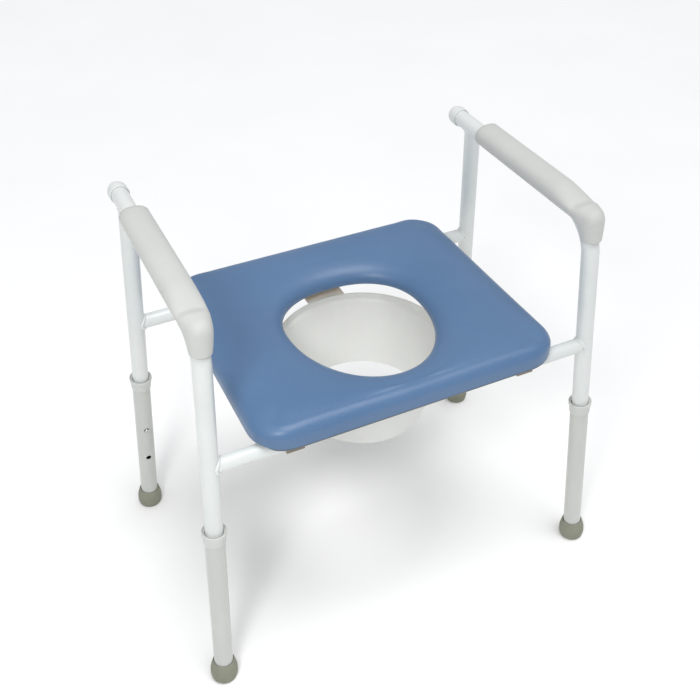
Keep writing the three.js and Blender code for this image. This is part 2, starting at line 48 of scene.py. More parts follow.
# ---- Dimensions shared with the solid model, in millimetres ----
GAP = 0.3
FOOT_HALF_WIDTH = 322.8
FOOT_HALF_DEPTH = 199
SIDE_LEAN = math.radians(3.65)
LEG_SPLAY = math.radians(3.8)
TUBE_R = 12.7
TUBE_WALL = 1.5
ARM_HEIGHT = 627.5
ARM_BEND_R = 60
ARM_REAR_END = 199
UPRIGHT_BOTTOM = 165
RAIL_R = 11.1
RAIL_HEIGHT = 414.5
RAIL_Y = FOOT_HALF_DEPTH - RAIL_HEIGHT * math.tan(LEG_SPLAY)
LEG_R = 14.3
LEG_WALL = 1.2
LEG_TOP = 297
LEG_BOTTOM = 8.6
HOLE_HEIGHT = 193
HOLE_PITCH = 67
HOLE_R = 4.5
COLLAR_TOP = 304
COLLAR_HEIGHT = 21
FERRULE_HEIGHT = 35
FERRULE_FLOOR = 6
BUTTON_R = 4
GRIP_REAR = 122
GRIP_SLEEVE_BOTTOM = 600
SEAT_HALF_WIDTH = 233
SEAT_FRONT = -202
SEAT_REAR = 205
SEAT_CORNER_R = 52
SEAT_BOTTOM = 429.5
SEAT_TOP = 462
BOARD_BOTTOM = 431.5
BOARD_THICK = 8
BOARD_INSET = 13
OPENING_CENTRE = 2
OPENING_HALF_WIDTH = 110
OPENING_FORWARD = 144
OPENING_BACKWARD = 98
OPENING_EXPONENT = 2.3
BOARD_OPENING_MARGIN = 6
GUARD_CENTRE = -19
GUARD_WALL = 2.5
GUARD_RIM_R = 134
GUARD_RIM_TOP = 407.5
GUARD_MOUTH_R = 98
GUARD_BOTTOM = 293.5
HOOK_WIDTH = 64

# ---- Dimensions of the looks alone, in millimetres ----
TUBE_HOLE_R = 5
HOLE_SURROUND = 10
GRIP_HALF_WIDTH = 21.5
GRIP_SLEEVE_R = 14.6
GRIP_BEND_R = 34
GRIP_WIDEST = 6
SEAT_CROWN = 1.5
SEAT_ROLL_IN = 40
SEAT_ROLL_OUT = 17
SEAT_EDGE_REACH = 200
FLOOR_HALF = 6000

TUBE_SIDES = 64
ARM_TURN = math.pi / 2 - LEG_SPLAY
FRONT_CORNER_Y = -(FOOT_HALF_DEPTH - ARM_HEIGHT * math.tan(LEG_SPLAY))
SIDES = (("left", -1), ("right", 1))
ENDS = (("front", -1), ("rear", 1))


def side_matrix(side):
    """The plane of one side frame: its foot line on the floor, leaning inwards."""
    return Matrix.Translation((side * FOOT_HALF_WIDTH, 0, 0)) @ Matrix.Rotation(-side * SIDE_LEAN, 4, "Y")


def leg_in_side(end):
    """A leg's line in its side frame's plane, with +Z up the leg from the floor."""
    return Matrix.Translation((0, end * FOOT_HALF_DEPTH, 0)) @ Matrix.Rotation(end * LEG_SPLAY, 4, "X")


def leg_matrix(side, end):
    """A leg's line in the row frame, still in millimetres."""
    return side_matrix(side) @ leg_in_side(end)


# ---- Materials ----
class Surface:
    """A node material under construction. Textures read object coordinates, in metres."""

    def __init__(self, name, roughness=0.5, **shader):
        self.material = bpy.data.materials.new(name)
        self.material.use_nodes = True
        self.tree = self.material.node_tree
        self.shader = self.tree.nodes["Principled BSDF"]
        self.coordinates = self.tree.nodes.new("ShaderNodeTexCoord").outputs["Object"]
        self.shader.inputs["Roughness"].default_value = roughness
        for socket, value in shader.items():
            self.shader.inputs[socket.replace("_", " ")].default_value = value

    def node(self, kind, links=None, **settings):
        made = self.tree.nodes.new(kind)
        for key, value in settings.items():
            setattr(made, key, value)
        for socket, source in (links or {}).items():
            if isinstance(source, bpy.types.NodeSocket):
                self.tree.links.new(source, made.inputs[socket])
            else:
                made.inputs[socket].default_value = source
        return made

    def stretched(self, scale):
        links = {"Vector": self.coordinates, "Scale": scale}
        return self.node("ShaderNodeMapping", links).outputs["Vector"]

    def noise(self, scale, detail=3.0, roughness=0.5, vector=None):
        links = {"Scale": scale, "Detail": detail, "Roughness": roughness}
        links["Vector"] = vector or self.coordinates
        return self.node("ShaderNodeTexNoise", links).outputs["Fac"]

    def cells(self, scale, feature="F1"):
        links = {"Vector": self.coordinates, "Scale": scale}
        return self.node("ShaderNodeTexVoronoi", links, feature=feature).outputs["Distance"]

    def remap(self, value, low, high, to_low=0.0, to_high=1.0):
        links = {"Value": value, "From Min": low, "From Max": high, "To Min": to_low, "To Max": to_high}
        return self.node("ShaderNodeMapRange", links).outputs["Result"]

    def mix(self, factor, first, second):
        """Two colours mixed. Inputs 6 and 7 and output 2 are the mix node's colour sockets."""
        made = self.node("ShaderNodeMix", data_type="RGBA")
        for index, source in ((0, factor), (6, first), (7, second)):
            socket = made.inputs[index]
            if isinstance(source, bpy.types.NodeSocket):
                self.tree.links.new(source, socket)
            else:
                socket.default_value = source
        return made.outputs[2]

    def colour(self, source):
        self.tree.links.new(source, self.shader.inputs["Base Color"])

    def rough(self, source):
        self.tree.links.new(source, self.shader.inputs["Roughness"])

    def bump(self, height, distance, strength=1.0, under=None):
        """Relief of a depth in metres, on top of another bump's normal where one is given."""
        links = {"Height": height, "Distance": distance, "Strength": strength}
        if under is not None:
            links["Normal"] = under
        made = self.node("ShaderNodeBump", links).outputs["Normal"]
        self.tree.links.new(made, self.shader.inputs["Normal"])
        return made


def enamel(name, low, high, fleck):
    s = Surface(name, Coat_Weight=0.3, Coat_Roughness=0.18, Specular_IOR_Level=0.5)
    cloud = s.remap(s.noise(9, 2), 0.35, 0.65)
    base = s.mix(cloud, low, high)
    speck = s.remap(s.noise(260, 2, 0.6), 0.70, 0.78)
    s.colour(s.mix(speck, base, fleck))
    s.rough(s.remap(s.noise(60, 3), 0.3, 0.7, 0.30, 0.42))
    peel = s.bump(s.noise(620, 2), 0.00006)
    s.bump(s.noise(90, 1), 0.00012, under=peel)
    return s.material


def grip_foam():
    s = Surface("grip_foam", Sheen_Weight=0.12, Sheen_Roughness=0.5, Specular_IOR_Level=0.35)
    cloud = s.remap(s.noise(14, 3), 0.3, 0.7)
    base = s.mix(cloud, (0.535, 0.545, 0.52, 1), (0.58, 0.59, 0.565, 1))
    pore = s.remap(s.cells(1100), 0.0, 0.16, 0.55, 0.0)
    s.colour(s.mix(pore, base, (0.46, 0.465, 0.44, 1)))
    s.rough(s.remap(s.noise(45, 3), 0.3, 0.7, 0.50, 0.62))
    grain = s.bump(s.cells(900), 0.00010, 0.8)
    s.bump(s.noise(150, 4, 0.6), 0.00025, under=grain)
    return s.material


def seat_skin():
    s = Surface("seat_skin", Coat_Weight=0.2, Coat_Roughness=0.34, Specular_IOR_Level=0.42)
    cloud = s.remap(s.noise(7, 2), 0.3, 0.7)
    base = s.mix(cloud, (0.076, 0.155, 0.292, 1), (0.088, 0.171, 0.315, 1))
    fleck = s.remap(s.noise(420, 4, 0.7), 0.45, 0.75)
    skin = s.mix(fleck, base, (0.095, 0.183, 0.334, 1))
    # Painted shade: the skin turns near-black along the pad's lowest edge, where it rolls under, and the
    # same band stands for a dark seam line there.
    height = s.node("ShaderNodeSeparateXYZ", {"Vector": s.coordinates}).outputs["Z"]
    shade_and_seam = s.remap(height, (SEAT_BOTTOM + 1.5) * MM, (SEAT_BOTTOM - 1) * MM, 0.0, 0.85)
    s.colour(s.mix(shade_and_seam, skin, (0.030, 0.040, 0.055, 1)))
    s.rough(s.remap(s.noise(24, 3), 0.3, 0.7, 0.36, 0.46))
    grain = s.bump(s.cells(760, "SMOOTH_F1"), 0.00014, 0.7)
    s.bump(s.noise(34, 2), 0.0006, 0.6, under=grain)
    return s.material


def ferrule_rubber():
    s = Surface("ferrule_rubber", Specular_IOR_Level=0.4)
    cloud = s.remap(s.noise(40, 3), 0.3, 0.7)
    base = s.mix(cloud, (0.225, 0.230, 0.172, 1), (0.265, 0.270, 0.212, 1))
    bloom = s.remap(s.noise(300, 4, 0.7), 0.55, 0.8)
    s.colour(s.mix(bloom, base, (0.32, 0.32, 0.265, 1)))
    s.rough(s.remap(s.noise(80, 3), 0.3, 0.7, 0.55, 0.75))
    s.bump(s.noise(500, 4, 0.65), 0.00015)
    return s.material


def collar_plastic():
    s = Surface("collar_plastic", Specular_IOR_Level=0.5)
    cloud = s.remap(s.noise(30, 3), 0.3, 0.7)
    s.colour(s.mix(cloud, (0.56, 0.575, 0.55, 1), (0.62, 0.635, 0.61, 1)))
    s.rough(s.remap(s.noise(120, 3), 0.3, 0.7, 0.36, 0.50))
    s.bump(s.noise(700, 3), 0.00006)
    return s.material


def guard_plastic():
    s = Surface("guard_plastic", Specular_IOR_Level=0.45, Subsurface_Weight=0.08, Subsurface_Scale=0.004)
    cloud = s.remap(s.noise(10, 3), 0.3, 0.7)
    base = s.mix(cloud, (0.69, 0.70, 0.675, 1), (0.74, 0.75, 0.725, 1))
    flow = s.remap(s.noise(60, 2, 0.5, s.stretched((1, 1, 0.08))), 0.3, 0.7, 0.0, 0.35)
    s.colour(s.mix(flow, base, (0.76, 0.765, 0.74, 1)))
    s.rough(s.remap(s.noise(70, 3), 0.3, 0.7, 0.42, 0.55))
    s.bump(s.noise(900, 3, 0.6), 0.00008)
    return s.material


def board_ply():
    s = Surface("board_ply", Specular_IOR_Level=0.35)
    fibre = s.noise(90, 5, 0.6, s.stretched((0.12, 1, 0.5)))
    rings = s.node(
        "ShaderNodeTexWave",
        {"Vector": s.stretched((0.25, 1, 1)), "Scale": 14, "Distortion": 9, "Detail": 3},
    )
    base = s.mix(s.remap(fibre, 0.3, 0.7), (0.62, 0.53, 0.395, 1), (0.54, 0.45, 0.32, 1))
    face = s.mix(s.remap(rings.outputs["Fac"], 0, 1, 0, 0.4), base, (0.46, 0.37, 0.25, 1))
    plies = s.node(
        "ShaderNodeTexWave",
        {"Vector": s.coordinates, "Scale": 98, "Distortion": 0.3},
        bands_direction="Z",
    )
    s.colour(s.mix(s.remap(plies.outputs["Fac"], 0.2, 0.8, 0, 0.35), face, (0.42, 0.33, 0.22, 1)))
    s.rough(s.remap(fibre, 0.3, 0.7, 0.5, 0.66))
    s.bump(fibre, 0.0002)
    return s.material


def clip_plastic():
    s = Surface("clip_plastic", Specular_IOR_Level=0.5)
    cloud = s.remap(s.noise(50, 3), 0.3, 0.7)
    s.colour(s.mix(cloud, (0.21, 0.18, 0.13, 1), (0.26, 0.225, 0.165, 1)))
    s.rough(s.remap(s.noise(160, 3), 0.3, 0.7, 0.40, 0.58))
    s.bump(s.noise(800, 3), 0.00008)
    return s.material


def zinc_steel():
    s = Surface("zinc_steel", Metallic=1.0)
    brushed = s.noise(900, 3, 0.6, s.stretched((1, 1, 0.1)))
    s.colour(s.mix(s.remap(brushed, 0.3, 0.7), (0.55, 0.55, 0.54, 1), (0.68, 0.68, 0.66, 1)))
    s.rough(s.remap(brushed, 0.3, 0.7, 0.24, 0.42))
    s.bump(brushed, 0.00003)
    return s.material


def floor_paper():
    s = Surface("floor_paper", Specular_IOR_Level=0.2, roughness=0.8)
    s.colour(s.mix(s.remap(s.noise(3, 3), 0.3, 0.7), (0.93, 0.93, 0.925, 1), (0.95, 0.95, 0.945, 1)))
    s.bump(s.noise(500, 3), 0.0001, 0.4)
    return s.material


def powder_coat():
    return enamel("powder_coat", (0.68, 0.71, 0.695, 1), (0.72, 0.745, 0.73, 1), (0.60, 0.60, 0.57, 1))


# A darker copy of the powder coat for the legs: partly painted shade for the dimmer light low on the
# frame, partly the leg tubes' own warmer grey.
def leg_coat():
    return enamel("leg_coat", (0.53, 0.54, 0.51, 1), (0.57, 0.58, 0.55, 1), (0.46, 0.46, 0.42, 1))


MATERIALS = {
    "powder_coat": powder_coat(),
    "leg_coat": leg_coat(),
    "grip_foam": grip_foam(),
    "seat_skin": seat_skin(),
    "ferrule_rubber": ferrule_rubber(),
    "collar_plastic": collar_plastic(),
    "guard_plastic": guard_plastic(),
    "board": board_ply(),
    "clip_plastic": clip_plastic(),
    "zinc_steel": zinc_steel(),
}


# ---- Mesh helpers, in millimetres ----
def as_object(name, vertices, faces, matrix=None, sharp=32):
    """A smooth-shaded object from millimetres, welded and with its normals out."""
    co = np.asarray(vertices, float)
    if matrix is not None:
        m = np.array(matrix)
        co = co @ m[:3, :3].T + m[:3, 3]
    mesh = bpy.data.meshes.new(name)
    mesh.from_pydata((co * MM).tolist(), [], [tuple(int(i) for i in f) for f in faces])
    bm = bmesh.new()
    bm.from_mesh(mesh)
    bmesh.ops.remove_doubles(bm, verts=bm.verts, dist=1e-6)
    bmesh.ops.recalc_face_normals(bm, faces=bm.faces)
    bm.to_mesh(mesh)
    bm.free()
    obj = bpy.data.objects.new(name, mesh)
    bpy.context.scene.collection.objects.link(obj)
    soften(obj, sharp)
    return obj


def soften(obj, sharp=32):
    obj.data.shade_smooth()
    obj.data.set_sharp_from_angle(angle=math.radians(sharp))


def applied(obj):
    """The object's mesh with its modifiers made real."""
    evaluated = obj.evaluated_get(bpy.context.evaluated_depsgraph_get())
    mesh = bpy.data.meshes.new_from_object(evaluated)
    obj.modifiers.clear()
    obj.data = mesh
    return obj


def finished(obj, body, slot, *nodes):
    """Gives a piece its material, body and slot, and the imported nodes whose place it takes."""
    obj.data.materials.clear()
    obj.data.materials.append(MATERIALS[slot])
    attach(obj, body)
    if nodes:
        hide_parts(*nodes)
    return obj


def grid_faces(rows, columns, loop_rows=False):
    """Quads between rings of points, each ring closed on itself."""
    faces = []
    for i in range(rows if loop_rows else rows - 1):
        this, following = i * columns, (i + 1) % rows * columns
        for j in range(columns):
            k = (j + 1) % columns
            faces.append((this + j, this + k, following + k, following + j))
    return faces


def fillet(points, closed=False, steps=4):
    """Rounds a polyline's corners. Points are (u, v) or (u, v, radius)."""
    out = []
    count = len(points)
    for i, point in enumerate(points):
        radius = point[2] if len(point) > 2 else 0
        corner = Vector(point[:2])
        if radius == 0 or (not closed and i in (0, count - 1)):
            out.append(tuple(corner))
            continue
        back = (Vector(points[i - 1][:2]) - corner).normalized()
        ahead = (Vector(points[(i + 1) % count][:2]) - corner).normalized()
        half = back.angle(ahead) / 2
        centre = corner + (back + ahead).normalized() * radius / math.sin(half)
        start = corner + back * radius / math.tan(half) - centre
        swing = math.pi - 2 * half
        swing = math.copysign(swing, back.x * ahead.y - back.y * ahead.x)
        for k in range(steps + 1):
            turn = -swing * k / steps
            c, t = math.cos(turn), math.sin(turn)
            out.append((centre.x + c * start.x - t * start.y, centre.y + t * start.x + c * start.y))
    return out


def lathe(name, profile, matrix=None, closed=True, sides=96, sharp=32):
    """Turns (radius, height) points about +Z. An open profile starts and ends on the axis."""
    turn = np.linspace(0, 2 * math.pi, sides, endpoint=False)
    rows = np.array([[(r * math.cos(t), r * math.sin(t), z) for t in turn] for r, z in profile])
    faces = grid_faces(len(profile), sides, loop_rows=closed)
    return as_object(name, rows.reshape(-1, 3), faces, matrix, sharp)


def tube_rings(centres, normals, radius, sides=TUBE_SIDES):
    """Rings of a tube whose centre line lies in the side plane x = 0."""
    turn = np.linspace(0, 2 * math.pi, sides, endpoint=False)
    across = np.array([1.0, 0, 0])
    return np.array([
        [centre + radius * (math.cos(t) * across + math.sin(t) * normal) for t in turn]
        for centre, normal in zip(centres, normals)
    ])


def joined(name, pieces):
    """One object from several, for what is one piece in the real thing."""
    bm = bmesh.new()
    for piece in pieces:
        bm.from_mesh(piece.data)
    mesh = bpy.data.meshes.new(name)
    bm.to_mesh(mesh)
    bm.free()
    for piece in pieces:
        bpy.data.objects.remove(piece)
    obj = bpy.data.objects.new(name, mesh)
    bpy.context.scene.collection.objects.link(obj)
    soften(obj)
    return obj


# ---- Side frame tubes ----
def arm_line():
    """Centres and outward normals along the arm tube, in its side plane."""
    bend_steps = 40
    tangent = ARM_BEND_R * math.tan(ARM_TURN / 2)
    centre = np.array([0, FRONT_CORNER_Y + tangent, ARM_HEIGHT - ARM_BEND_R])
    centres = [np.array([0, ARM_REAR_END, ARM_HEIGHT])]
    normals = [np.array([0, 0, 1.0])]
    for k in range(bend_steps + 1):
        angle = ARM_TURN * k / bend_steps
        normal = np.array([0, -math.sin(angle), math.cos(angle)])
        centres.append(centre + ARM_BEND_R * normal)
        normals.append(normal)
    for height in (HOLE_HEIGHT + HOLE_SURROUND, HOLE_HEIGHT - HOLE_SURROUND, UPRIGHT_BOTTOM):
        centres.append(np.array(leg_in_side(-1) @ Vector((0, 0, height))))
        normals.append(normals[-1])
    return centres, normals


def arm_tube(name, side):
    """Front upright, armrest bar and rear stub in one bent tube, with the front button's hole."""
    centres, normals = arm_line()
    outside = tube_rings(centres, normals, TUBE_R)
    inside = tube_rings(centres, normals, TUBE_R - TUBE_WALL)[::-1]
    rings = np.concatenate([outside, inside])
    faces = grid_faces(len(rings), TUBE_SIDES, loop_rows=True)
    tube = as_object(name, rings.reshape(-1, 3), faces, side_matrix(side))
    return drilled(tube, leg_matrix(side, -1), -1, [HOLE_HEIGHT], TUBE_HOLE_R)


def straight_tube(name, radius, heights, matrix):
    """A tube with a ring at each height along its matrix's +Z."""
    profile = [(radius, z) for z in heights] + [(radius - TUBE_WALL, z) for z in reversed(heights)]
    return lathe(name, profile, matrix, sides=TUBE_SIDES)


def inwards(matrix, end, height):
    """A place on a leg's axis whose +Z points level along the side frame, towards its middle."""
    return matrix @ Matrix.Translation((0, 0, height)) @ Matrix.Rotation(end * math.pi / 2, 4, "X")


def drilled(tube, matrix, end, heights, radius, chamfer=0.0):
    """Drills the wall that faces the middle of the frame, at heights up the leg whose matrix is given."""
    in_bore, past_wall = 6, 20
    wide = radius + chamfer
    profile = [
        (0, in_bore), (radius, in_bore), (radius, LEG_R - 0.5),
        (wide, LEG_R + 0.3), (wide, past_wall), (0, past_wall),
    ]
    cutters = []
    for height in heights:
        place = inwards(matrix, end, height)
        cutters.append(lathe(f"{tube.name}_cut{height}", profile, place, closed=False, sides=32))
    cutter = joined(tube.name + "_cut", cutters)
    cut = tube.modifiers.new("holes", "BOOLEAN")
    cut.object = cutter
    cut.solver = "EXACT"
    applied(tube)
    bpy.data.objects.remove(cutter)
    soften(tube, 25)
    return tube


def weld(name, tube_matrix, tube_radius, onto, reach, bead=2.6):
    """A bead where a tube along its matrix's +Z runs into a frame tube, given as (point, direction).

    The seam is looked for between the two heights in reach, and the bead's size ripples along it.
    """
    start, along = onto
    sides, section, halvings = 72, 12, 40
    seam = []
    for i in range(sides):
        turn = 2 * math.pi * i / sides
        x, y = tube_radius * math.cos(turn), tube_radius * math.sin(turn)
        low, high = reach
        for _ in range(halvings):
            middle = (low + high) / 2
            point = tube_matrix @ Vector((x, y, middle))
            away = point - start
            if (away - along * away.dot(along)).length > TUBE_R:
                low = middle
            else:
                high = middle
        seam.append(point)
    rows = []
    for i in range(sides):
        ahead = (seam[(i + 1) % sides] - seam[i - 1]).normalized()
        axis_point = tube_matrix @ Vector((0, 0, (tube_matrix.inverted() @ seam[i]).z))
        out = (seam[i] - axis_point).normalized()
        out = (out - ahead * out.dot(ahead)).normalized()
        third = ahead.cross(out)
        ripple = 0.07 * math.sin(2 * math.pi * i * 13 / sides) + 0.04 * math.sin(i * 1.7)
        size = bead * (1 + ripple)
        for k in range(section):
            angle = 2 * math.pi * k / section
            rows.append(seam[i] + size * (math.cos(angle) * out + math.sin(angle) * third))
    return as_object(name, np.array(rows), grid_faces(sides, section, loop_rows=True), sharp=60)


def rear_upright(name, side):
    top = ARM_HEIGHT / math.cos(LEG_SPLAY) - 3
    under_bar = 560
    matrix = leg_matrix(side, 1)
    heights = [UPRIGHT_BOTTOM, HOLE_HEIGHT - HOLE_SURROUND, HOLE_HEIGHT + HOLE_SURROUND, top]
    tube = straight_tube(name + "_tube", TUBE_R, heights, matrix)
    drilled(tube, matrix, 1, [HOLE_HEIGHT], TUBE_HOLE_R)
    start = side_matrix(side) @ Vector((0, 0, ARM_HEIGHT))
    along = side_matrix(side).to_3x3() @ Vector((0, 1, 0))
    bead = weld(name + "_bead", matrix, TUBE_R, (start, along), (under_bar, top), bead=1.5)
    return joined(name, [tube, bead])


def rail(name, end):
    """A cross rail whose ends run into the uprights, with a weld bead round each."""
    centre = Matrix.Translation((0, end * RAIL_Y, RAIL_HEIGHT))
    half = FOOT_HALF_WIDTH - RAIL_HEIGHT * math.tan(SIDE_LEAN) - TUBE_R * 0.7
    matrix = centre @ Matrix.Rotation(math.pi / 2, 4, "Y")
    short_of_upright, past_end = 230, 6
    pieces = [straight_tube(name + "_tube", RAIL_R, [-half, half], matrix)]
    for side_name, side in SIDES:
        outwards = centre @ Matrix.Rotation(side * math.pi / 2, 4, "Y")
        leg = leg_matrix(side, end)
        upright = (leg.translation, leg.to_3x3() @ Vector((0, 0, 1)))
        reach = (short_of_upright, half + past_end)
        pieces.append(weld(f"{name}_{side_name}", outwards, RAIL_R, upright, reach))
    return joined(name, pieces)


def rear_cap(name, side):
    """A soft plastic end cap with a grooved, domed end."""
    inner = TUBE_R + GAP
    outer = inner + 2
    dome_top = 17.8
    skirt = 6.6
    profile = fillet([
        (0, dome_top), (7, dome_top - 0.6, 6), (outer - 2.2, 13.6, 3), (outer - 0.5, 8.4, 1.2),
        (outer - 1.0, 7.6, 0.3), (outer - 0.1, 6.9, 0.5), (outer, 0, 1), (outer - 0.2, 0.2 - skirt, 0.8),
        (inner, -skirt, 0.2), (inner, GAP, 0.2), (0, GAP),
    ], steps=5)
    place = side_matrix(side) @ Matrix.Translation((0, ARM_REAR_END, ARM_HEIGHT))
    return lathe(name, profile, place @ Matrix.Rotation(-math.pi / 2, 4, "X"), closed=False)


# ---- Legs ----
def leg_tube(name, side, end):
    """A leg with its two button holes, ringed closely round them so that the cuts shade cleanly."""
    holes = [HOLE_HEIGHT, HOLE_HEIGHT - HOLE_PITCH]
    near_holes = [height + away for height in holes for away in range(-8, 9, 2)]
    rim = 0.4
    heights = sorted({LEG_BOTTOM, LEG_TOP - rim, *near_holes})
    outside = [(LEG_R, z) for z in heights] + [(LEG_R - rim, LEG_TOP)]
    inside = [(LEG_R - LEG_WALL, LEG_TOP)] + [(LEG_R - LEG_WALL, z) for z in reversed(heights[:-1])]
    matrix = leg_matrix(side, end)
    tube = lathe(name, outside + inside, matrix, sides=72, sharp=25)
    return drilled(tube, matrix, end, holes, HOLE_R, chamfer=0.5)


def leg_collar(name, side, end):
    """A bell: snug on the leg, flared at its mouth round the upper tube, and dished under its rim."""
    bottom = COLLAR_TOP - COLLAR_HEIGHT
    bore = LEG_R + GAP
    lip = LEG_TOP + GAP
    profile = fillet([
        (bore, bottom, 0.3), (15.3, bottom, 0.5), (15.9, bottom + 3.4, 1), (15.7, bottom + 6, 2),
        (16.2, COLLAR_TOP - 10, 3), (17.6, COLLAR_TOP - 5, 4), (18, COLLAR_TOP, 0.7),
        (16.5, COLLAR_TOP, 0.7), (15.7, COLLAR_TOP - 1.7, 0.8), (13.4, COLLAR_TOP - 2.6, 0.3),
        (13.3, lip, 0.2), (bore, lip, 0.2),
    ], closed=True)
    return lathe(name, profile, leg_matrix(side, end))


def ferrule(name, side, end):
    """A soft bulb that narrows to a close, rounded mouth round the leg, standing flat on the floor."""
    bore = LEG_R + GAP
    below_floor = -3.9
    profile = fillet([
        (0, below_floor), (14.4, below_floor, 3), (19.0, 0.8, 5), (20.8, 10, 10), (20.6, 19, 10),
        (18.7, 27, 12), (16.6, FERRULE_HEIGHT - 0.3, 1.2), (bore + 0.5, FERRULE_HEIGHT, 0.5),
        (bore, FERRULE_HEIGHT - 1.8, 0.5), (bore, FERRULE_FLOOR, 0.4), (0, FERRULE_FLOOR),
    ], steps=6)
    cup = lathe(name, profile, leg_matrix(side, end), closed=False)
    for vertex in cup.data.vertices:
        vertex.co.z = max(vertex.co.z, 0)
    soften(cup, 40)
    return cup


def snap_button(name, side, end):
    """A stepped pin with a domed nose, standing out of the leg's upper hole."""
    nose = BUTTON_R - 0.6
    tip, base = 17, 9.4
    profile = fillet([
        (0, tip), (2.1, tip - 0.2, 1.5), (nose, tip - 1.8, 1), (nose, 13, 0.2),
        (BUTTON_R, 12.4, 0.2), (BUTTON_R, base, 0.2), (0, base),
    ])
    place = inwards(leg_matrix(side, end), end, HOLE_HEIGHT)
    return lathe(name, profile, place, closed=False, sides=40)


# ---- Armrest grips ----
def ease(value, low, high):
    """0 below low and 1 above high, with a smooth step between them."""
    share = min(max((value - low) / (high - low), 0), 1)
    return share * share * (3 - 2 * share)


def ray_to(outline, origin, direction):
    """How far along a direction an outline of (y, z) points is."""
    best = 1e9
    for (ay, az), (by, bz) in zip(outline, outline[1:]):
        ey, ez = by - ay, bz - az
        cross = direction[0] * ez - direction[1] * ey
        if abs(cross) < 1e-9:
            continue
        t = ((ay - origin[0]) * ez - (az - origin[1]) * ey) / cross
        u = ((ay - origin[0]) * direction[1] - (az - origin[1]) * direction[0]) / cross
        if t > 0 and -1e-6 <= u <= 1 + 1e-6:
            best = min(best, t)
    return best


# The grip's top and front, and its underside and back, as (y, z, corner radius) in the side plane.
GRIP_OUTER = fillet([
    (GRIP_REAR + 1, 650.2), (-88, 651.2, 90), (-132, 640.4, 9), (-146, 645.6, 9), (-173.4, 643.4, 14),
    (-173.4, GRIP_SLEEVE_BOTTOM - 30),
], steps=10)
GRIP_INNER = fillet([
    (GRIP_REAR + 1, 613.2), (-144.3, 613.2, 22), (-143.4, GRIP_SLEEVE_BOTTOM - 60),
], steps=10)


def grip_path():
    """Centres and turns of the grip's sections, with a tighter bend than the tube's."""
    bend_steps = 32
    y = FRONT_CORNER_Y + GRIP_BEND_R * math.tan(ARM_TURN / 2)
    z = ARM_HEIGHT - GRIP_BEND_R
    rings = [((along, ARM_HEIGHT), 0.0) for along in np.linspace(GRIP_REAR, y, 40)]
    for k in range(1, bend_steps + 1):
        angle = ARM_TURN * k / bend_steps
        rings.append(((y - GRIP_BEND_R * math.sin(angle), z + GRIP_BEND_R * math.cos(angle)), angle))
    for z in np.linspace(rings[-1][0][1], GRIP_SLEEVE_BOTTOM, 12)[1:]:
        rings.append(((-(FOOT_HALF_DEPTH - z * math.tan(LEG_SPLAY)), z), ARM_TURN))
    return rings


def grip(name, side):
    """A soft cover whose square-shouldered section over the bar narrows to a round sleeve.

    It starts to narrow over the knuckle and goes on round the bend. The section is widest a little
    above the tube's centre, and power_above and power_below say how square its two halves are.
    """
    sides = 80
    rows = []
    path = grip_path()
    end_round = 7
    thinnest = TUBE_R + 1.4
    turns_down_from = 0.35
    knuckle_share = 0.25
    for (y, z), angle in path:
        outward = (-math.sin(angle), math.cos(angle))
        above = ray_to(GRIP_OUTER, (y, z), outward)
        below = ray_to(GRIP_INNER, (y, z), (-outward[0], -outward[1]))
        turned = min(max((angle - turns_down_from) / (ARM_TURN - turns_down_from), 0), 1)
        down = ease(-y, 110, 150) * knuckle_share + turned * (1 - knuckle_share)
        half_width = GRIP_HALF_WIDTH + (GRIP_SLEEVE_R - GRIP_HALF_WIDTH) * down
        widest = GRIP_WIDEST * (1 - ease(angle, 0.5, ARM_TURN))
        power_above, power_below = 2 / (2.35 - 0.35 * down), 2 / (1.75 + 0.25 * down)
        shrink = 0
        if GRIP_REAR - y < end_round:
            shrink = end_round - math.sqrt(max(end_round**2 - (end_round - (GRIP_REAR - y)) ** 2, 0))
        row = []
        for k in range(sides):
            turn = 2 * math.pi * k / sides
            c, s = math.cos(turn), math.sin(turn)
            power = power_above if s > 0 else power_below
            u = half_width * math.copysign(abs(c) ** power, c)
            reach = above - widest if s > 0 else below + widest
            v = widest + reach * math.copysign(abs(s) ** power, s)
            radial = math.hypot(u, v)
            scale = max(radial - shrink * 0.8, thinnest) / radial
            row.append((u * scale, y + outward[0] * v * scale, z + outward[1] * v * scale))
        rows.append(row)
    rows = np.array(rows)
    (y0, z0), _ = path[0]
    (y1, z1), last = path[-1]
    rear = np.array([0, y0, z0])
    rear_mouth = tube_rings([rear, rear - (0, 8, 0)], [np.array([0, 0, 1.0])] * 2, TUBE_R + 0.5, sides)
    down_leg = np.array([0, -math.cos(last), -math.sin(last)])
    middle = np.array([0, y1, z1])
    lip = [
        middle + (rows[-1] - middle) * share + down_leg * drop
        for share, drop in ((0.995, 0.9), (0.95, 1.6))
    ]
    normal = np.array([0, -math.sin(last), math.cos(last)])
    bore = tube_rings([middle + down_leg * drop for drop in (1.6, -6)], [normal] * 2, TUBE_R + 0.9, sides)
    rings = np.concatenate([rear_mouth[::-1], rows, lip, bore])
    faces = grid_faces(len(rings), sides)
    return as_object(name, rings.reshape(-1, 3), faces, side_matrix(side), sharp=50)


# ---- Seat ----
def polar_opening(turn):
    """Where a ray from the opening's centre crosses its egg-shaped edge."""
    c, s = math.cos(turn), math.sin(turn)
    reach = OPENING_BACKWARD if s > 0 else OPENING_FORWARD
    exponent = OPENING_EXPONENT if s > 0 else 2
    r = (abs(c / OPENING_HALF_WIDTH) ** exponent + abs(s / reach) ** exponent) ** (-1 / exponent)
    return np.array([r * c, OPENING_CENTRE + r * s])


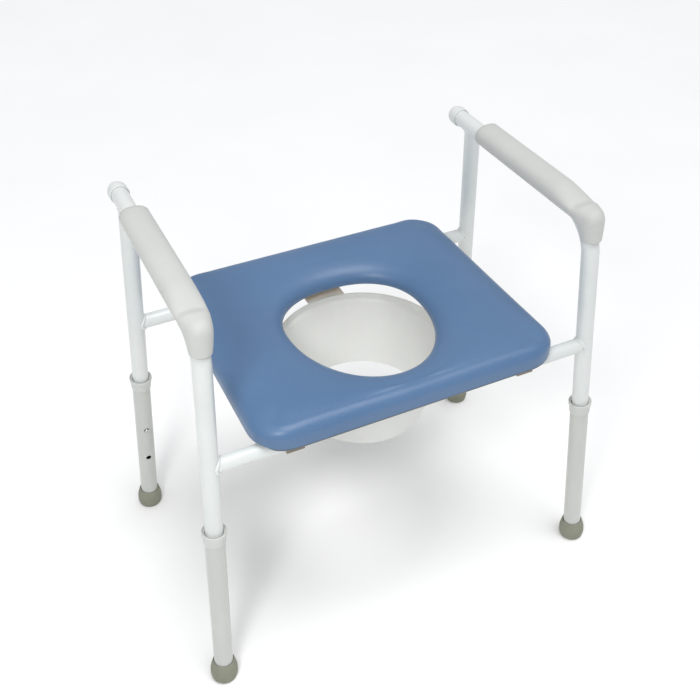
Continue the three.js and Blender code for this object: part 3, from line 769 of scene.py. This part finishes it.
def polar_outline(turn):
    """Where a ray from the opening's centre crosses the seat's rounded rectangle."""
    direction = np.array([math.cos(turn), math.sin(turn)])
    half = np.array([SEAT_HALF_WIDTH, (SEAT_REAR - SEAT_FRONT) / 2])
    low, high = 0.0, 500.0
    for _ in range(40):
        middle = (low + high) / 2
        x, y = direction * middle + (0, OPENING_CENTRE)
        away = np.abs([x, y - (SEAT_REAR + SEAT_FRONT) / 2]) - half + SEAT_CORNER_R
        outside = np.hypot(*np.maximum(away, 0)) + min(max(away), 0) - SEAT_CORNER_R
        if outside > 0:
            high = middle
        else:
            low = middle
    return direction * low + (0, OPENING_CENTRE)


def outline_normals(points):
    """Unit normals of a closed outline, away from its inside."""
    ahead = np.roll(points, -1, 0) - np.roll(points, 1, 0)
    normals = np.stack([ahead[:, 1], -ahead[:, 0]], 1)
    return normals / np.linalg.norm(normals, axis=1)[:, None]


def hung(points):
    """Lets the pad's lower edge hang, more so ahead of the front rail, and spreads it at the front."""
    droop, front_droop, spread = 1.5, 4, 3
    fade, height = 6, 12
    out = points.copy()
    x, y, z = points.T
    ahead = np.clip((-RAIL_Y - RAIL_R - 2 - y) / fade, 0, 1)
    low = np.clip((SEAT_BOTTOM + height - z) / height, 0, 1)
    forward = np.clip((SEAT_REAR - y) / (SEAT_REAR - SEAT_FRONT), 0, 1)
    out[:, 2] -= low * (droop + front_droop * ahead * ahead * (3 - 2 * ahead))
    out[:, 0] += spread * (x / SEAT_HALF_WIDTH) ** 3 * forward
    return out


def seat_rings(count, recess):
    """Rings from the opening's lower edge, over the crown, to the outer lower edge.

    With a recess they start and end inside it, where the board lies.
    """
    turns = np.linspace(0, 2 * math.pi, count, endpoint=False)
    inner = np.array([polar_opening(t) for t in turns])
    outer = np.array([polar_outline(t) for t in turns])
    inner_out = outline_normals(inner)
    outer_out = outline_normals(outer)
    rings = []

    def ring(base, shift, z):
        rings.append(np.column_stack([base + shift, np.full(count, float(z))]))

    def quarter(steps):
        """Turns from nothing to a right angle."""
        return [math.pi / 2 * k / steps for k in range(steps + 1)]

    top = SEAT_TOP - SEAT_CROWN
    edge = SEAT_BOTTOM + 8
    under = BOARD_BOTTOM + BOARD_THICK + GAP
    recess_in = inner_out * (BOARD_OPENING_MARGIN - GAP)
    recess_out = -outer_out * (BOARD_INSET - GAP)
    lower_edge_in, lower_edge_out = 4.2, 4.5
    if recess:
        ring(inner, recess_in, under)
        ring(inner, recess_in, SEAT_BOTTOM + 0.6)
    edge_foot = edge - 2
    for turn in quarter(4):
        shift = inner_out * lower_edge_in * (1 - math.sin(turn))
        ring(inner, shift, edge_foot - (edge_foot - SEAT_BOTTOM) * math.cos(turn))
    for turn in quarter(13):
        shift = inner_out * SEAT_ROLL_IN * (1 - math.cos(turn))
        ring(inner, shift, edge + (top - edge) * math.sin(turn))
    first = inner + inner_out * SEAT_ROLL_IN
    last = outer - outer_out * SEAT_ROLL_OUT
    steps = 14
    for k in range(1, steps):
        share = k / steps
        ring(first * (1 - share) + last * share, 0, top + SEAT_CROWN * math.sin(math.pi * share))
    side_top = top - SEAT_ROLL_OUT
    side_foot = SEAT_BOTTOM + 5
    for turn in quarter(10):
        shift = -outer_out * SEAT_ROLL_OUT * (1 - math.sin(turn))
        ring(outer, shift, side_top + SEAT_ROLL_OUT * math.cos(turn))
    for k in range(1, 3):
        ring(outer, 0, side_top - (side_top - side_foot) * k / 3)
    for turn in quarter(4):
        shift = -outer_out * lower_edge_out * (1 - math.cos(turn))
        ring(outer, shift, side_foot - (side_foot - SEAT_BOTTOM) * math.sin(turn))
    if recess:
        ring(outer, recess_out, SEAT_BOTTOM)
        ring(outer, recess_out, under)
    # The rings round the opening stay as they are, and those at the outer edge hang.
    hangs = [np.hypot(*r[0, :2]) > SEAT_EDGE_REACH for r in rings]
    return np.array([hung(r) if low else r for r, low in zip(rings, hangs)])


def swell(obj, cap, floor):
    """Pushes a closed form out from inside with cloth, its underside held.

    Returns the surface's points and how far each moved, up to the cap, in metres.
    """
    frames = 20
    remesh = obj.modifiers.new("remesh", "REMESH")
    remesh.mode = "VOXEL"
    remesh.voxel_size = 0.0055
    applied(obj)
    rest = np.array([v.co for v in obj.data.vertices])
    held = obj.vertex_groups.new(name="held")
    held.add([i for i, co in enumerate(rest) if co[2] < floor], 1.0, "REPLACE")
    cloth = obj.modifiers.new("cloth", "CLOTH")
    settings = cloth.settings
    settings.use_pressure = True
    settings.uniform_pressure_force = 4
    settings.tension_stiffness = 30
    settings.compression_stiffness = 30
    settings.bending_stiffness = 4
    settings.vertex_group_mass = "held"
    settings.effector_weights.gravity = 0
    cloth.collision_settings.use_collision = False
    scene = bpy.context.scene
    for step in range(1, frames + 1):
        scene.frame_set(step)
    evaluated = obj.evaluated_get(bpy.context.evaluated_depsgraph_get())
    moved = np.array([v.co for v in evaluated.data.vertices]) - rest
    length = np.linalg.norm(moved, axis=1)
    moved *= np.minimum(1, cap / np.maximum(length, 1e-9))[:, None]
    obj.modifiers.clear()
    scene.frame_set(1)
    return rest, moved


def seat_pad(name):
    """The pad with the board's recess. Its top and sides follow a coarser core, swollen as cloth."""
    count, core_count, neighbours = 264, 132, 12
    most_swelling = 0.003
    rings = seat_rings(count, recess=True)
    obj = as_object(name, rings.reshape(-1, 3), grid_faces(len(rings), count, loop_rows=True), sharp=60)
    core_rings = seat_rings(core_count, recess=False)
    core_faces = grid_faces(len(core_rings), core_count, loop_rows=True)
    core = as_object(name + "_core", core_rings.reshape(-1, 3), core_faces)
    rest, moved = swell(core, cap=most_swelling, floor=(BOARD_BOTTOM + 4) * MM)
    bpy.data.objects.remove(core)
    tree = kdtree.KDTree(len(rest))
    for i, co in enumerate(rest):
        tree.insert(co, i)
    tree.balance()
    for vertex in obj.data.vertices:
        lift = ease(vertex.co.z, (SEAT_BOTTOM + 9) * MM, (SEAT_TOP - 9) * MM)
        if lift > 0:
            near = tree.find_n(vertex.co, neighbours)
            shift = sum((Vector(moved[i]) for _, i, _ in near), Vector()) / len(near)
            vertex.co += shift * lift
    subdivide = obj.modifiers.new("subdivide", "SUBSURF")
    subdivide.levels = subdivide.render_levels = 1
    applied(obj)
    soften(obj, 60)
    return obj


def seat_board(name):
    """The board under the pad, with its edges eased."""
    count = 192
    turns = np.linspace(0, 2 * math.pi, count, endpoint=False)
    inner = np.array([polar_opening(t) for t in turns])
    outer = np.array([polar_outline(t) for t in turns])
    inner += outline_normals(inner) * BOARD_OPENING_MARGIN
    outer -= outline_normals(outer) * BOARD_INSET
    low, high = BOARD_BOTTOM, BOARD_BOTTOM + BOARD_THICK
    bevel = 0.6
    rings = []
    for base, towards, z in (
        (inner, bevel, low), (inner, 0, low + bevel), (inner, 0, high - bevel), (inner, bevel, high),
        (outer, -bevel, high), (outer, 0, high - bevel), (outer, 0, low + bevel), (outer, -bevel, low),
    ):
        rings.append(np.column_stack([base + outline_normals(base) * towards, np.full(count, float(z))]))
    rings = np.array(rings)
    return as_object(name, rings.reshape(-1, 3), grid_faces(len(rings), count, loop_rows=True))


# ---- Splash guard ----
def extruded(name, outline, width, bevel):
    """A closed (y, z) outline made a slab across X, with its long edges rounded."""
    count = len(outline)
    vertices = [(x, y, z) for x in (-width / 2, width / 2) for y, z in outline]
    faces = [tuple(range(count)), tuple(range(2 * count - 1, count - 1, -1))]
    faces += [(i, (i + 1) % count, count + (i + 1) % count, count + i) for i in range(count)]
    obj = as_object(name, vertices, faces)
    edges = obj.modifiers.new("edges", "BEVEL")
    edges.width = bevel * MM
    edges.segments = 3
    edges.limit_method = "ANGLE"
    edges.angle_limit = math.radians(50)
    return applied(obj)


def guard_hook(name, end):
    """A tongue from the guard's rim to a rail, hooked over the rail's top."""
    inner = RAIL_R + 0.4
    outer = inner + GUARD_WALL
    reach = GUARD_CENTRE * end + GUARD_RIM_R - 2.2
    sweep, steps = 190, 28
    over = [math.radians(180 - sweep * k / steps) for k in range(steps + 1)]
    outline = [(reach, GUARD_RIM_TOP - GUARD_WALL), (reach, GUARD_RIM_TOP)]
    outline += [(RAIL_Y - outer, GUARD_RIM_TOP)]
    outline += [(RAIL_Y + outer * math.cos(t), RAIL_HEIGHT + outer * math.sin(t)) for t in over]
    outline += [(RAIL_Y + inner * math.cos(t), RAIL_HEIGHT + inner * math.sin(t)) for t in reversed(over)]
    outline += [(RAIL_Y - inner, GUARD_RIM_TOP - GUARD_WALL)]
    return extruded(name, [(end * y, z) for y, z in outline], HOOK_WIDTH, 0.8)


def splash_guard(name):
    """A round chute under a short upright rim, with a hook at the front and at the rear."""
    rim, mouth, wall = GUARD_RIM_R, GUARD_MOUTH_R, GUARD_WALL
    low = GUARD_RIM_TOP - 10
    profile = fillet([
        (rim - wall, GUARD_RIM_TOP, 0.9), (rim - wall, low + 1, 1.2), (rim - wall - 5, low - 3.4, 1.2),
        (mouth - wall, GUARD_BOTTOM, 0.9), (mouth, GUARD_BOTTOM, 0.9),
        (rim - 5, low - 5, 1.2), (rim, low, 1.2), (rim, GUARD_RIM_TOP, 0.9),
    ], closed=True)
    chute = lathe(name + "_chute", profile, Matrix.Translation((0, GUARD_CENTRE, 0)), sides=160, sharp=40)
    hooks = [guard_hook(f"{name}_{end_name}", end) for end_name, end in ENDS]
    return joined(name, [chute, *hooks])


# ---- Build ----
for side_name, side in SIDES:
    finished(arm_tube(f"{side_name}_arm", side), "frame", "powder_coat", f"{side_name}_arm_tube")
    finished(grip(f"{side_name}_grip", side), "frame", "grip_foam", f"{side_name}_armrest_grip")
    finished(rear_cap(f"{side_name}_cap", side), "frame", "powder_coat", f"{side_name}_rear_cap")
    upright = rear_upright(f"{side_name}_upright", side)
    finished(upright, "frame", "powder_coat", f"{side_name}_rear_upright")
    for end_name, end in ENDS:
        key = f"{end_name}_{side_name}"
        leg_body = f"{key}_leg_body"
        finished(leg_tube(f"{key}_tube", side, end), leg_body, "leg_coat", f"{key}_leg")
        finished(leg_collar(f"{key}_bell", side, end), leg_body, "collar_plastic", f"{key}_collar")
        finished(ferrule(f"{key}_foot", side, end), leg_body, "ferrule_rubber", f"{key}_ferrule")
        button = snap_button(f"{key}_button", side, end)
        finished(button, f"{key}_button_body", "zinc_steel", f"{key}_snap_button")

finished(rail("front_cross_rail", -1), "frame", "powder_coat", "front_rail")
finished(rail("rear_cross_rail", 1), "frame", "powder_coat", "rear_rail")
finished(splash_guard("guard"), "frame", "guard_plastic", "splash_guard")
finished(seat_board("board"), "seat", "board", "seat_board")
pad = finished(seat_pad("cushion"), "seat", "seat_skin", "seat_pad")

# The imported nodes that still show, such as the clips, get the same materials and a fine edge.
SLOTS = {part["node"]: part["material_slot"] for part in frame["record"]["subparts"]}
for node_name, node in frame["nodes"].items():
    if node.hide_render:
        continue
    node.data.materials.clear()
    node.data.materials.append(MATERIALS[SLOTS[node_name]])
    node.data.shade_smooth()
    node.data.set_sharp_from_angle(angle=math.radians(35))
    edges = node.modifiers.new("edges", "BEVEL")
    edges.width = 0.0004
    edges.segments = 2
    edges.limit_method = "ANGLE"
    edges.angle_limit = math.radians(40)


# ---- Floor, light and camera. The lights and the camera are placed in metres. ----
LIT_POINT = Vector((0, 0, 0.4))


def area_light(name, place, size, energy):
    data = bpy.data.lights.new(name, "AREA")
    data.shape = "DISK"
    data.size = size
    data.energy = energy
    aimed(name, data, place)


def sky_light(name, place, spread, energy):
    """Light from far away, as evenly spread over the floor as over the object."""
    data = bpy.data.lights.new(name, "SUN")
    data.angle = math.radians(spread)
    data.energy = energy
    aimed(name, data, place)


def aimed(name, data, place):
    light = bpy.data.objects.new(name, data)
    light.location = place
    light.rotation_euler = (LIT_POINT - Vector(place)).to_track_quat("-Z", "Y").to_euler()
    bpy.context.scene.collection.objects.link(light)


scene = bpy.context.scene
floor_corners = [(x * FLOOR_HALF, y * FLOOR_HALF, 0) for x, y in ((-1, -1), (1, -1), (1, 1), (-1, 1))]
floor = as_object("floor", floor_corners, [(0, 1, 2, 3)])
floor.data.materials.append(floor_paper())

world = bpy.data.worlds.new("studio")
world.use_nodes = True
background = world.node_tree.nodes["Background"].inputs
background["Color"].default_value = (0.95, 0.97, 1.0, 1)
background["Strength"].default_value = 0.5
scene.world = world
area_light("key", (-0.95, -1.1, 1.7), 0.45, 13)
area_light("rim", (1.6, 1.2, 1.8), 1.2, 1)
sky_light("overhead", (0.3, -0.4, 2.9), 34, 1.55)
scene.view_settings.view_transform = "Standard"

# The photograph's camera. PIVOT shows SHIFT to the right of the picture's middle and above it.
AZIMUTH, ELEVATION, ROLL = math.radians(-25.44), math.radians(38.97), math.radians(-0.31)
SENSOR_WIDTH = 36
LENS = 49.674857
PIVOT = Vector((0, 0, 0.45))
SHIFT = (0.01026, 0.05329)
DISTANCE = 1.4509
back = Vector((
    math.sin(AZIMUTH) * math.cos(ELEVATION),
    -math.cos(AZIMUTH) * math.cos(ELEVATION),
    math.sin(ELEVATION),
))
level = Vector((math.cos(AZIMUTH), math.sin(AZIMUTH), 0))
steep = back.cross(level)
right = math.cos(ROLL) * level + math.sin(ROLL) * steep
up = -math.sin(ROLL) * level + math.cos(ROLL) * steep
camera_data = bpy.data.cameras.new("camera")
camera_data.sensor_width = SENSOR_WIDTH
camera_data.lens = LENS
camera = bpy.data.objects.new("camera", camera_data)
place = PIVOT - right * SHIFT[0] - up * SHIFT[1] + back * DISTANCE
camera.matrix_world = Matrix.Translation(place) @ Matrix((right, up, back)).transposed().to_4x4()
scene.collection.objects.link(camera)
scene.camera = camera
